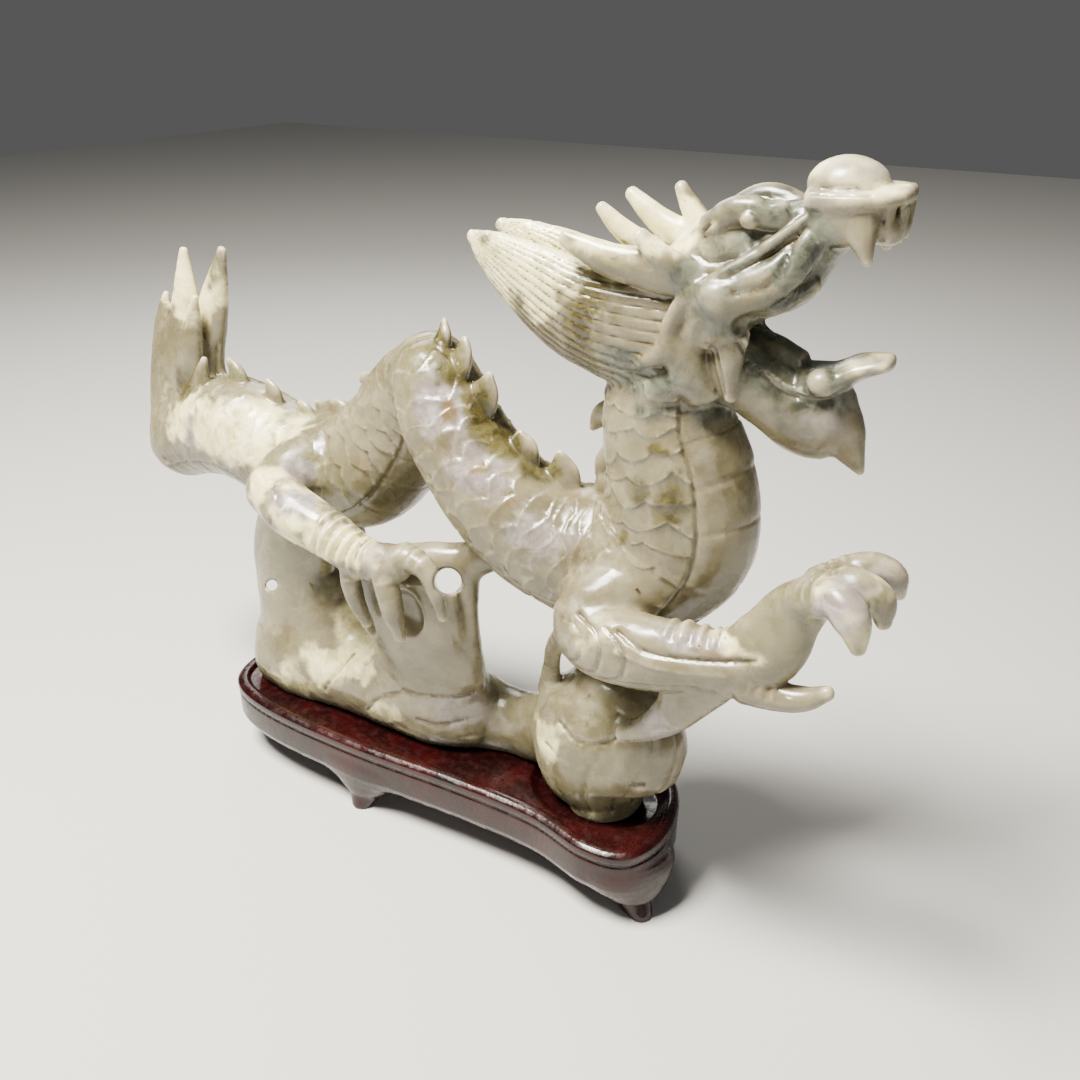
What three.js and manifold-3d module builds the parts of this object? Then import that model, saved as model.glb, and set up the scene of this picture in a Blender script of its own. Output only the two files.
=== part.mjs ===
// A carved jade dragon on a lacquered wooden stand, in millimetres, +Z up.
// The dragon faces +X. It is one stone with the rock that it runs over.
import * as THREE from 'three';
import { mergeVertices } from 'three/addons/utils/BufferGeometryUtils.js';
import Module from 'manifold-3d';

const wasm = await Module();
wasm.setup();

// ---- Driving dimensions -------------------------------------------------------------------
// The stand is centred on x = y = 0, and every place below is measured from there.
const STAND_TOP = 48; // height of the rim
const STAND_FLOOR = 45; // the recessed top that the stone stands on
const POCKET_FLOOR = 40; // deeper pocket under the front rock
const APRON_BOTTOM = 20; // underside of the stand between its feet
const CONTACT_GAP = 0.3; // clearance between stone and wood
const HEAD_AT = [150, 0, 300]; // origin of the head's own frame
const HEAD_ROLL = THREE.MathUtils.degToRad(4); // the crown leans towards -Y

// ---- Lofts --------------------------------------------------------------------------------
// A station is [x, y, z, half width, half height]. The width lies along the loft's side
// vector, and the height across it.
const vector = ([x, y, z]) => new THREE.Vector3(x, y, z);

function smoothCurve(stations, first) {
  const points = stations.map((s) => new THREE.Vector3(s[first], s[first + 1], s[first + 2] ?? 0));
  return new THREE.CatmullRomCurve3(points, false, 'catmullrom', 0.5);
}

function frameAt(path, t, side, twist = 0) {
  const centre = path.getPoint(t);
  const along = path.getTangent(t);
  const across = side.clone().addScaledVector(along, -side.dot(along)).normalize();
  const up = new THREE.Vector3().crossVectors(along, across);
  if (twist) {
    across.applyAxisAngle(along, twist);
    up.applyAxisAngle(along, twist);
  }
  return { centre, along, across, up };
}

// A closed tube through the stations, with domed ends. flute(angle) scales the outline.
function loft(stations, options = {}) {
  const { side = [0, 1, 0], sides = 10, steps = 1, dome = 0.8, domeRings = 1, square = 2, flute } = options;
  const path = smoothCurve(stations, 0);
  const girth = smoothCurve(stations, 3);
  const reference = vector(side);
  const rings = [];
  const addRing = (t, shrink, shift) => {
    const { centre, along, across, up } = frameAt(path, t, reference);
    const size = girth.getPoint(t);
    const middle = centre.addScaledVector(along, shift);
    const ring = [];
    for (let k = 0; k < sides; k++) {
      const angle = (2 * Math.PI * k) / sides;
      const swell = (flute ? flute(k, t) : 1) * shrink;
      const c = Math.cos(angle);
      const s = Math.sin(angle);
      const w = Math.sign(c) * Math.abs(c) ** (2 / square) * size.x * swell;
      const h = Math.sign(s) * Math.abs(s) ** (2 / square) * size.y * swell;
      ring.push(middle.clone().addScaledVector(across, w).addScaledVector(up, h));
    }
    rings.push(ring);
  };
  const capDepth = (t) => Math.min(girth.getPoint(t).x, girth.getPoint(t).y) * dome;
  const count = (stations.length - 1) * steps;
  const domeAngles = Array.from({ length: domeRings }, (_, k) => ((k + 1) * Math.PI) / 2 / (domeRings + 1));
  for (const a of [...domeAngles].reverse()) addRing(0, Math.cos(a), -Math.sin(a) * capDepth(0));
  for (let n = 0; n <= count; n++) addRing(n / count, 1, 0);
  for (const a of domeAngles) addRing(1, Math.cos(a), Math.sin(a) * capDepth(1));
  const pole = (t, sign) => {
    const { centre, along } = frameAt(path, t, reference);
    return centre.addScaledVector(along, sign * capDepth(t));
  };
  const positions = [...rings.flat(), pole(0, -1), pole(1, 1)].flatMap((p) => [p.x, p.y, p.z]);
  const index = [];
  const first = rings.length * sides;
  for (let k = 0; k < sides; k++) {
    const next = (k + 1) % sides;
    index.push(first, next, k);
    const last = (rings.length - 1) * sides;
    index.push(first + 1, last + k, last + next);
    for (let r = 0; r < rings.length - 1; r++) {
      const a = r * sides;
      const b = a + sides;
      index.push(a + k, a + next, b + next, a + k, b + next, b + k);
    }
  }
  const geometry = new THREE.BufferGeometry();
  geometry.setAttribute('position', new THREE.Float32BufferAttribute(positions, 3));
  geometry.setIndex(index);
  return geometry;
}

function ellipsoid(at, radii, widthSegments = 12, heightSegments = 8) {
  const geometry = new THREE.SphereGeometry(1, widthSegments, heightSegments);
  geometry.scale(...radii);
  return geometry.translate(...at);
}

// Copies a station list or point list to the other side of the mid plane.
const mirrored = (stations) => stations.map(([x, y, ...rest]) => [x, -y, ...rest]);

// ---- Solids -------------------------------------------------------------------------------
function toSolid(geometry) {
  const bare = new THREE.BufferGeometry();
  bare.setAttribute('position', geometry.getAttribute('position'));
  bare.setIndex(geometry.getIndex());
  const closed = mergeVertices(bare, 1e-4);
  const corners = closed.getIndex().array;
  const triangles = [];
  for (let k = 0; k < corners.length; k += 3) {
    const [a, b, c] = corners.slice(k, k + 3);
    if (a !== b && b !== c && c !== a) triangles.push(a, b, c);
  }
  return new wasm.Manifold(new wasm.Mesh({
    numProp: 3,
    vertProperties: new Float32Array(closed.getAttribute('position').array),
    triVerts: new Uint32Array(triangles),
  }));
}

const union = (geometries) => geometries.map(toSolid).reduce((all, one) => all.add(one));

function toGeometry(solid) {
  const mesh = solid.getMesh();
  const geometry = new THREE.BufferGeometry();
  geometry.setAttribute('position', new THREE.Float32BufferAttribute(mesh.vertProperties, 3));
  geometry.setIndex([...mesh.triVerts]);
  geometry.computeVertexNormals();
  return geometry;
}

// ---- The dragon's body --------------------------------------------------------------------
const REAR_BODY = [
  [-228, 20, 180, 22, 26],
  [-200, 18, 192, 25, 30],
  [-168, 16, 199, 28, 33],
  [-130, 15, 191, 30, 31],
  [-98, 15, 187, 32, 32],
  [-68, 16, 194, 33, 35],
  [-44, 18, 218, 30, 33],
  [-24, 15, 248, 26, 28],
  [-6, 5, 268, 20, 20],
];
const FRONT_BODY = [
  [-2, -2, 272, 19, 19],
  [7, -9, 265, 23, 23],
  [16, -12, 249, 25, 26],
  [31, -13, 230, 27, 27],
  [51, -12, 210, 29, 30],
  [72, -7, 195, 31, 32],
  [96, -2, 189, 33, 35],
  [122, 0, 188, 32, 36],
];
const NECK = [
  [128, 0, 188, 31, 36],
  [142, 0, 212, 30, 39],
  [141, 0, 242, 28, 37],
  [134, 0, 268, 26, 32],
  [134, 0, 298, 22, 27],
];

// Spikes stand out along the back and lean towards the tail. The twist turns them round the path,
// less and less with each step along it.
function ridge(stations, spikes, twist = 0, twistDrop = 0) {
  const path = smoothCurve(stations, 0);
  const girth = smoothCurve(stations, 3);
  return spikes.map(([t, height, length]) => {
    const { centre, along, up, across } = frameAt(path, t, vector([0, 1, 0]), twist - twistDrop * t);
    const skin = girth.getPoint(t).y;
    const place = (out, back) => centre.clone().addScaledVector(up, out).addScaledVector(along, -back);
    const foot = place(skin - 7, -length * 0.2);
    const middle = place(skin + height * 0.35, -length * 0.05);
    const tip = place(skin + height, height * 0.55);
    return loft(
      [
        [...foot.toArray(), 5, length / 2],
        [...middle.toArray(), 3.6, length * 0.34],
        [...tip.toArray(), 1.3, 1.8],
      ],
      { side: across.toArray(), sides: 5, dome: 0.6, domeRings: 0 },
    );
  });
}

// Each spike is [place along the path, height, length].
const REAR_SPIKES = [
  [0.17, 8, 16], [0.25, 11, 18], [0.32, 9, 18], [0.42, 7, 18], [0.52, 10, 22], [0.65, 9, 18], [0.8, 5, 16],
];
const FRONT_SPIKES = [[0.04, 9, 18], [0.13, 10, 22], [0.24, 12, 28], [0.47, 6.5, 30], [0.62, 12, 28]];
const NECK_SPIKES = [[0.4, 8, 20], [0.58, 10, 18], [0.74, 10, 18]];
const FRONT_LEAN = THREE.MathUtils.degToRad(10); // the front ridge turns towards -Y as it rises
const FRONT_LEAN_DROP = THREE.MathUtils.degToRad(30); // and back towards +Y down the body

function body() {
  return [
    loft(REAR_BODY, { sides: 12 }),
    loft(FRONT_BODY, { sides: 12 }),
    loft(NECK, { sides: 12 }),
    ...ridge(REAR_BODY, REAR_SPIKES),
    ...ridge(FRONT_BODY, FRONT_SPIKES, FRONT_LEAN, FRONT_LEAN_DROP),
    ...ridge(NECK, NECK_SPIKES),
  ];
}

// ---- Tail ---------------------------------------------------------------------------------
const TAIL_STEM = [
  [-229, 20, 174, 20, 24],
  [-223, 22, 206, 14, 31],
  [-217, 24, 238, 11, 31],
  [-211, 25, 260, 8, 25],
];
const TAIL_FLAMES = [
  [[-221, 24, 236, 8, 15], [-214, 25, 272, 6, 11], [-211, 26, 304, 2, 3]],
  [[-203, 24, 236, 8, 15], [-189, 25, 274, 6, 11], [-176, 25, 308, 2, 3]],
  [[-237, 24, 232, 7, 10], [-237, 25, 256, 5, 7], [-233, 26, 274, 2, 2]],
  [[-207, 13, 222, 8, 12], [-198, 11, 252, 6, 9], [-190, 12, 280, 2, 2]],
  [[-199, 10, 204, 7, 10], [-191, 8, 226, 5, 7], [-186, 9, 243, 2, 2]],
];

function tail() {
  return [
    loft(TAIL_STEM),
    ...TAIL_FLAMES.map((flame) => loft(flame, { sides: 5, domeRings: 0 })),
  ];
}

// ---- Legs ---------------------------------------------------------------------------------
const FORELEG = [
  [[134, -14, 190, 20, 22], [118, -31, 178, 18, 21], [113, -40, 172, 16, 18]],
  [[113, -40, 168, 15, 17], [127, -44, 168, 17, 19], [149, -45, 170, 16, 19], [171, -44, 174, 14, 17],
    [192, -41, 177, 12, 16], [206, -39, 189, 11, 17], [214, -38, 206, 10, 14], [223, -38, 218, 9, 10]],
];
const FORE_CLAWS = [
  [[199, -41, 168, 10, 10], [214, -42, 167, 7, 7], [226, -42, 170, 5.5, 5.5], [235, -42, 176, 3.2, 3.2]],
  [[219, -40, 216, 9, 9], [234, -47, 224, 8.5, 8.5], [244, -52, 218, 7.5, 7.5], [247, -52, 207, 3.5, 3.5]],
  [[224, -37, 220, 8, 8], [238, -39, 228, 7.5, 7.5], [249, -37, 223, 7, 7], [252, -36, 213, 3.5, 3.5]],
  [[222, -31, 220, 8, 8], [238, -26, 230, 7, 7], [249, -21, 227, 6.5, 6.5], [253, -20, 219, 3, 3]],
];
const FAR_FORELEG = [
  [[136, 18, 192, 22, 24], [112, 36, 182, 17, 19], [94, 42, 172, 14, 15]],
  [[94, 42, 172, 13, 15], [84, 42, 150, 12, 13], [84, 38, 128, 10, 11], [90, 32, 110, 9, 10]],
];
const FAR_FORE_CLAWS = [-10, 0, 10].map((x) => [
  [88 + x * 0.5, 33, 116, 6, 6], [89 + x, 38, 102, 5, 5], [89 + x, 36, 90, 3, 3],
]);
const HINDLEG = [
  [[-84, 6, 198, 24, 27], [-92, -20, 196, 18, 20], [-93, -34, 194, 15, 15]],
  [[-93, -37, 194, 14, 15], [-70, -43, 188, 15, 15], [-44, -44, 181, 13, 14],
    [-18, -45, 173, 11, 12], [3, -44, 176, 10, 10]],
];
const HIND_CLAWS = [
  [[-6, -45, 178, 8, 8], [0, -51, 168, 7, 7], [4, -52, 152, 6, 6], [5, -48, 134, 3.5, 3.5]],
  [[6, -42, 180, 8, 8], [21, -44, 178, 6, 6], [27, -44, 166, 5, 5], [29, -41, 150, 3, 3]],
  [[-20, -44, 172, 8, 8], [-27, -48, 164, 6, 6], [-25, -48, 148, 5, 5], [-22, -44, 132, 3, 3]],
];
const FAR_HINDLEG = [
  [[-84, 22, 200, 24, 28], [-66, 46, 192, 17, 19], [-62, 54, 182, 13, 14]],
  [[-62, 54, 182, 13, 14], [-78, 52, 166, 12, 13], [-96, 42, 152, 10, 11], [-106, 32, 140, 9, 10]],
];
const FAR_HIND_CLAWS = [-11, 0, 11].map((x) => [
  [-104 + x * 0.5, 34, 144, 6, 6], [-106 + x, 36, 130, 5, 5], [-107 + x, 32, 116, 3, 3],
]);

function legs() {
  const thighs = [FORELEG[0], FAR_FORELEG[0], HINDLEG[0], FAR_HINDLEG[0]];
  const shins = [FORELEG[1], FAR_FORELEG[1], HINDLEG[1], FAR_HINDLEG[1]];
  const nearClaws = [...FORE_CLAWS, ...HIND_CLAWS];
  const farClaws = [...FAR_FORE_CLAWS, ...FAR_HIND_CLAWS];
  return [
    ...thighs.map((thigh) => loft(thigh, { side: [1, 0, 0.2], sides: 8, domeRings: 0 })),
    ...shins.map((shin) => loft(shin, { side: [0.3, 1, 0.2], sides: 9 })),
    ...nearClaws.map((claw) => loft(claw, { side: [0.3, 1, 0.2], sides: 5, domeRings: 0 })),
    ...farClaws.map((claw) => loft(claw, { side: [0.3, 1, 0.2], sides: 4, domeRings: 0 })),
  ];
}

// ---- Rock ---------------------------------------------------------------------------------
const ROCK_BOTTOM = STAND_FLOOR + CONTACT_GAP;
const SADDLE = [
  [-128, 0, 58, 27, 26],
  [-108, 0, 62, 30, 32],
  [-66, -1, 66, 29, 30],
  [-24, -2, 66, 28, 30],
  [8, 0, 64, 24, 28],
  [34, 6, 60, 18, 21],
  [58, 6, 62, 16, 22],
  [84, 2, 70, 20, 27],
];
const LEFT_ROCK = [
  [-106, 1, 60, 29, 42],
  [-106, 2, 84, 25, 48],
  [-112, 1, 108, 20, 39],
  [-114, -2, 132, 17, 32],
  [-106, -6, 154, 16, 28],
  [-98, -6, 176, 14, 22],
];
const PILLAR = [
  [-4, -4, 62, 24, 36],
  [-5, -10, 88, 20, 36],
  [-7, -18, 112, 16, 36],
  [-8, -26, 138, 14, 38],
  [-8, -28, 160, 12, 36],
];
const PILLAR_BRIDGE = [
  [-14, -26, 164, 10, 10],
  [8, -22, 170, 9, 10],
  [26, -16, 172, 9, 10],
  [40, -12, 178, 9, 10],
];
const PILLAR_EDGE = [
  [36, -13, 178, 7, 7],
  [29, -16, 166, 7, 6.5],
  [26, -17, 148, 6, 8],
  [25, -16, 122, 7, 9],
  [25, -12, 98, 9, 9],
];
const SHELL = [
  [110, -6, 46, 22, 22],
  [106, -5, 60, 27, 38],
  [108, -3, 78, 30, 44],
  [114, -1, 94, 28, 42],
  [117, 2, 106, 22, 34],
];
const CHEST_ROCK = [
  [104, 4, 90, 16, 32],
  [112, 4, 114, 12, 25],
  [113, 4, 140, 12, 24],
  [118, 2, 166, 14, 24],
];
const WISP = [
  [180, -43, 170, 10, 17],
  [171, -41, 154, 9, 14],
  [162, -38, 137, 8, 10],
  [149, -35, 122, 7, 7],
  [134, -32, 111, 6, 5],
];
const STRUT = [[98, -28, 160, 5, 6], [84, -18, 138, 4, 5], [77, -10, 118, 4, 5], [72, -2, 98, 6, 8]];
const PILLAR_SCOOPS = [
  [[2, -40, 142], [11, 9, 15], 10, 6],
  [[-32, -36, 128], [8, 10, 15], 10, 6],
];
const ROCK_HOLES = [
  [[-108, -30, 125], [-180, 36, 74], 5],
  [[40, -50, 178], [-10, 16, 136], 7],
];

function rock() {
  return [
    loft(SADDLE),
    loft(LEFT_ROCK),
    loft(PILLAR),
    loft(PILLAR_BRIDGE, { sides: 6, domeRings: 0 }),
    loft(PILLAR_EDGE, { sides: 6, domeRings: 0 }),
    loft(CHEST_ROCK, { sides: 8, domeRings: 0 }),
    loft(WISP, { sides: 7, domeRings: 0 }),
    loft(STRUT, { sides: 5, domeRings: 0 }),
  ];
}

function bore([from, to, radius]) {
  return loft([[...from, radius, radius], [...to, radius, radius]], { side: [1, 0, 0], sides: 8 });
}

// ---- Head, in its own frame: +X along the muzzle, +Z to the crown ---------------------------
const MUZZLE = [
  [-20, 0, 4, 19, 24],
  [-2, 0, 26, 22, 26],
  [16, 0, 42, 21, 27],
  [33, 0, 50, 17, 23],
  [48, 0, 60, 14, 14],
  [62, 0, 66, 13, 9],
  [75, 0, 65, 10, 8],
];
const LIP_PLATE = [[46, 0, 74, 15, 5], [60, 0, 75, 17, 4.5], [73, 0, 76, 14, 4], [80, 0, 77, 9, 3.5]];
const LOWER_JAW = [
  [0, 0, 6, 21, 22],
  [18, 0, -1, 20, 19],
  [34, 0, -10, 17, 18],
  [48, 0, -17, 15, 20],
  [58, 0, -19, 12, 19],
];
const JAW_LIP = [[50, 0, -2, 13, 7], [60, 0, 1, 12, 6], [70, 0, 7, 9, 5], [80, 0, 10, 6, 3.5]];
const CHIN = [[57, 0, -14, 11, 13], [64, 0, -24, 8, 11], [69, 0, -32, 5, 7], [74, 0, -40, 2, 2]];
const TONGUE = [[12, 0, 12, 9, 6], [30, 0, 9, 8, 6], [43, 0, 5, 6, 5]];
const BROW = [[5, -11, 60, 5, 6], [18, -13, 68, 5, 6], [31, -12, 67, 5, 5.5], [42, -8, 64, 4, 4]];
const WHISKER = [
  [44, -15, 68, 3, 4],
  [31, -20, 54, 3.5, 4],
  [16, -24, 44, 3.5, 4],
  [5, -25, 35, 4, 4.5],
  [-2, -24, 25, 3, 4],
];
const CHEEK_ROLL = [
  [48, -12, 58, 5, 6],
  [40, -17, 47, 6, 8],
  [27, -20, 38, 7, 10],
  [13, -21, 29, 8, 12],
  [7, -20, 18, 7, 9],
];
const JAW_MUSCLE = [[0, -18, 22, 6, 7], [1, -20, 6, 6, 8], [7, -18, -10, 6, 9]];
const JAW_FOLD = [[19, -19, 20, 4, 9], [20, -20, 6, 4, 6], [21, -20, -9, 2, 2.5]];
const ANTLERS = [
  [[5, -18, 38, 6, 8], [-14, -21, 42, 6, 9], [-36, -23, 45, 5.5, 7.5], [-57, -23, 52, 3.5, 4]],
  [[-2, -20, 42, 6, 7], [-12, -24, 50, 5, 5.5], [-20, -25, 57, 3.5, 3.5]],
  [[0, 14, 38, 5, 8], [-16, 16, 45, 5, 8], [-33, 18, 53, 5, 6], [-47, 19, 63, 3.5, 3.5]],
  [[-6, 16, 46, 5, 6], [-16, 18, 58, 4.5, 5], [-23, 19, 68, 3, 3]],
  [[-32, 12, 40, 5, 6], [-47, 10, 49, 4.5, 5], [-57, 9, 58, 3, 3]],
];
const MANE = [
  [2, -12, 12, 11, 25],
  [-26, -14, 12, 12, 27],
  [-54, -15, 16, 10, 24],
  [-80, -14, 27, 8, 19],
  [-102, -13, 38, 5, 11],
  [-115, -12, 45, 2, 3],
];
const CHEEK_TUFTS = [
  [[-2, -18, 18, 6, 8], [-10, -25, 8, 4, 5], [-21, -25, 1, 1.5, 2]],
  [[2, -18, -2, 7, 9], [-12, -23, -10, 4, 6], [-30, -21, -21, 1.5, 2]],
];
const FANG = [[65, -10, 68, 5, 8], [68, -12, 61, 4, 5.5], [71, -13, 53, 1.6, 2]];
const TEETH = [
  [72, -9], [76, -8], [80, -4], [80, 4], [76, 8],
].map(([x, y]) => [[x, y, 73, 2.4, 2.4], [x, y, 66, 1.8, 1.8], [x, y, 60, 0.8, 0.8]]);
const MANE_FLUTES = 8;
const NOSE = { at: [57, 0, 79], radii: [16, 13, 10.5] };

function head() {
  const flute = (k) => (k % 2 ? 0.87 : 1);
  const bothSides = (stations, options) => [loft(stations, options), loft(mirrored(stations), options)];
  const small = { sides: 6 };
  const mane = { sides: 2 * MANE_FLUTES, flute, domeRings: 0 };
  // The far side is plainer: it has no whisker, jaw fold or hair tufts.
  const shapes = [
    loft(MUZZLE),
    loft(LIP_PLATE, { sides: 12, square: 3, domeRings: 0 }),
    loft(LOWER_JAW, { sides: 10 }),
    loft(JAW_LIP, { sides: 8 }),
    loft(CHIN, small),
    ellipsoid(NOSE.at, NOSE.radii, 10, 6),
    ...ANTLERS.map((antler) => loft(antler, { sides: 6, domeRings: 0 })),
    ...bothSides(BROW, { sides: 6, domeRings: 0 }),
    ...bothSides(CHEEK_ROLL, small),
    ...bothSides(JAW_MUSCLE, { sides: 5, domeRings: 0 }),
    ...bothSides(FANG, { sides: 5, domeRings: 0 }),
    ...bothSides(MANE, mane),
    loft(WHISKER, small),
    loft(JAW_FOLD, { sides: 5, domeRings: 0 }),
    ...CHEEK_TUFTS.map((tuft) => loft(tuft, { sides: 5, domeRings: 0 })),
    ...TEETH.map((tooth) => loft(tooth, { side: [1, 0, 0], sides: 4, domeRings: 0 })),
    ...[-1, 1].map((s) => ellipsoid([24, s * 16.5, 66], [4.5, 3.5, 4], 6, 5)),
    ellipsoid([57, -10, 1], [7, 6, 6], 7, 5),
  ];
  const throat = ellipsoid([32, 0, 18], [18, 11, 10], 12, 8);
  const carved = union(shapes).subtract(toSolid(throat)).add(toSolid(loft(TONGUE, small)));
  const place = new THREE.Matrix4()
    .makeTranslation(...HEAD_AT)
    .multiply(new THREE.Matrix4().makeRotationX(HEAD_ROLL));
  return toSolid(toGeometry(carved).applyMatrix4(place));
}

function dragonCarving() {
  const slabBelow = (top) => new THREE.BoxGeometry(600, 300, 100).translate(0, 0, top - 50);
  const shell = toSolid(loft(SHELL, { sides: 12 })).subtract(toSolid(slabBelow(POCKET_FLOOR + CONTACT_GAP)));
  const rear = union(rock()).subtract(toSolid(slabBelow(ROCK_BOTTOM)));
  let stone = union([...body(), ...tail(), ...legs()]).add(rear).add(shell).add(head());
  for (const scoop of PILLAR_SCOOPS) stone = stone.subtract(toSolid(ellipsoid(...scoop)));
  for (const hole of ROCK_HOLES) stone = stone.subtract(toSolid(bore(hole)));
  return toGeometry(stone);
}

// ---- Stand --------------------------------------------------------------------------------
const STAND_OUTLINE = [
  [-157, -6], [-146, -34], [-110, -47], [-40, -50], [34, -46], [85, -46], [122, -54], [146, -48],
  [155, -22], [148, 10], [126, 34], [80, 42], [20, 40], [-50, 46], [-110, 44], [-148, 24],
];
// Each foot is [x, y, heading, half length, half thickness]. It stands under the wall at that
// place on the outline, and the heading is the wall's direction there in degrees.
const STAND_FEET = [
  [-37, -50, 1, 27, 9],
  [155, -39, 58, 24, 15],
  [127, 34, 148, 20, 12],
  [-126, 38, 202, 24, 9],
];

function outlineAt(inset, count = 24) {
  const places = STAND_OUTLINE.map(([x, y]) => new THREE.Vector3(x, y, 0));
  const curve = new THREE.CatmullRomCurve3(places, true, 'catmullrom', 0.5);
  return Array.from({ length: count }, (_, k) => {
    const p = curve.getPoint(k / count);
    const along = curve.getTangent(k / count);
    return new THREE.Vector2(p.x - along.y * inset, p.y + along.x * inset);
  });
}

// Stacked outlines, each [height, inset], closed flat at both ends.
function stack(levels, count = 24) {
  const rings = levels.map(([z, inset]) => outlineAt(inset, count).map((p) => [p.x, p.y, z]));
  const positions = rings.flat(2);
  const index = [];
  for (let r = 0; r < rings.length - 1; r++) {
    for (let k = 0; k < count; k++) {
      const next = (k + 1) % count;
      const a = r * count;
      const b = a + count;
      index.push(a + k, a + next, b + next, a + k, b + next, b + k);
    }
  }
  const caps = THREE.ShapeUtils.triangulateShape(outlineAt(levels[0][1], count), []);
  const top = THREE.ShapeUtils.triangulateShape(outlineAt(levels.at(-1)[1], count), []);
  const last = (rings.length - 1) * count;
  for (const [a, b, c] of caps) index.push(c, b, a);
  for (const [a, b, c] of top) index.push(last + a, last + b, last + c);
  const geometry = new THREE.BufferGeometry();
  geometry.setAttribute('position', new THREE.Float32BufferAttribute(positions, 3));
  geometry.setIndex(index);
  return geometry;
}

function stand() {
  const board = stack([
    [APRON_BOTTOM, 3], [APRON_BOTTOM + 5, 0.5], [STAND_TOP - 9, 0.5], [STAND_TOP - 7.5, 2],
    [STAND_TOP - 6, 0], [STAND_TOP - 2, 0], [STAND_TOP, 2.5],
  ]);
  const recess = stack([[STAND_FLOOR, 8], [STAND_TOP + 5, 4]]);
  const pocket = ellipsoid([104, -4, POCKET_FLOOR + 18], [44, 35, 30], 14, 6);
  const floorKeep = new THREE.BoxGeometry(200, 200, 60).translate(118, 0, POCKET_FLOOR + 30);
  const foot = ([x, y, heading, length, thickness]) => {
    const turn = THREE.MathUtils.degToRad(heading);
    const station = (inward, z, ...size) => [
      x - Math.sin(turn) * inward, y + Math.cos(turn) * inward, z, ...size,
    ];
    return loft(
      [
        station(thickness + 0.5, APRON_BOTTOM + 8, length, thickness),
        station(thickness + 0.5, APRON_BOTTOM - 2, length * 0.85, thickness),
        station(thickness, 8, length * 0.45, thickness * 0.85),
        station(5, 0, 6, 5),
        station(5, -6, 5, 4),
      ],
      { side: [Math.cos(turn), Math.sin(turn), 0], sides: 8, domeRings: 0 },
    );
  };
  const underFloor = new THREE.BoxGeometry(400, 200, 40).translate(0, 0, -20);
  let solid = toSolid(board).subtract(toSolid(recess));
  solid = solid.subtract(toSolid(pocket).intersect(toSolid(floorKeep)));
  for (const place of STAND_FEET) solid = solid.add(toSolid(foot(place)));
  return toGeometry(solid.subtract(toSolid(underFloor)));
}

// ---- Scene --------------------------------------------------------------------------------
const jade = new THREE.MeshStandardMaterial({ color: 0xcfc6a8, roughness: 0.25, metalness: 0 });
const lacquer = new THREE.MeshStandardMaterial({ color: 0x5a1216, roughness: 0.3, metalness: 0 });

function named(name, geometry, material) {
  const mesh = new THREE.Mesh(geometry, material);
  mesh.name = name;
  return mesh;
}

const carving = new THREE.Group();
carving.add(named('dragon_carving', dragonCarving(), jade));
carving.add(named('stand', stand(), lacquer));

// The origin is the middle of the whole part's box, at the feet's level.
const box = new THREE.Box3().setFromObject(carving);
const centre = box.getCenter(new THREE.Vector3());
carving.position.set(-centre.x, -centre.y, 0);

const model = new THREE.Group();
model.add(carving);
export default model;
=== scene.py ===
"""A carved jade dragon on a lacquered wooden stand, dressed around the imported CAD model.

Every table is in millimetres from the stand's own centre, +Z up, with the dragon facing +X.
The stone is one piece: smooth lofts are joined in a distance field, the field becomes a mesh,
and the carving's scales, hair grooves and incised lines move that mesh's vertices.
"""
import math

import bpy
import numpy as np
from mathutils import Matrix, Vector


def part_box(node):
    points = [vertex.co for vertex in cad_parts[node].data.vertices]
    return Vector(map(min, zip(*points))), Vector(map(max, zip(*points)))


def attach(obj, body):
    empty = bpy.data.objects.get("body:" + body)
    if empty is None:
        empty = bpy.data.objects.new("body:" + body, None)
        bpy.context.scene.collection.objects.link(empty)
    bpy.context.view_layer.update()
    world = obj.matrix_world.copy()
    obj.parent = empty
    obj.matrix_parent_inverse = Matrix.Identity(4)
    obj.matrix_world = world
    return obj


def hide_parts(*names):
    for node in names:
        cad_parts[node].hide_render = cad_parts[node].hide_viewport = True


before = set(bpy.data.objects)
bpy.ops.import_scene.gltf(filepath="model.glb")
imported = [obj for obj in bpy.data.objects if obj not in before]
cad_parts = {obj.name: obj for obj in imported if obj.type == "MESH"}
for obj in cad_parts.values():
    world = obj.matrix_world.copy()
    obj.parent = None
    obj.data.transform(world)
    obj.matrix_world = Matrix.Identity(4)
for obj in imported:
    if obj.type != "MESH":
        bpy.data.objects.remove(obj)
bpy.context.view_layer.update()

import openvdb
from mathutils import Vector

MM = 0.001
STAND_LOW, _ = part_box("stand")
STAND_REACH = (157.0, 54.0)  # how far the stand reaches left of and in front of its own centre
ORIGIN = np.array([STAND_LOW[0] / MM + STAND_REACH[0], STAND_LOW[1] / MM + STAND_REACH[1], 0.0])

STAND_TOP = 48.0
STAND_FLOOR = 45.0
POCKET_FLOOR = 40.0
APRON_BOTTOM = 20.0
CONTACT_GAP = 0.3
HEAD_AT = np.array([150.0, 0.0, 300.0])
HEAD_ROLL = math.radians(4)
STONE_CELL = 0.85
STAND_CELL = 0.8
BAND = 6  # half width of the distance field, in cells
STONE_BOUNDS = [-262, -70, 38], [262, 70, 396]
STAND_BOUNDS = [-162, -60, -4], [162, 52, 54]
STONE_TRIANGLES = 196000
STAND_TRIANGLES = 120000
CAMERA_AZIMUTH = math.radians(32)
CAMERA_ELEVATION = math.radians(26)
CAMERA_DISTANCE = 620.0
CAMERA_TARGET = np.array([46, 28, 171])
CAMERA_LENS = 37.03  # on a sensor 36 wide
LIGHT_TARGET = (0, 0, 170)
FLOOR_REACH = 3.0  # metres


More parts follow.
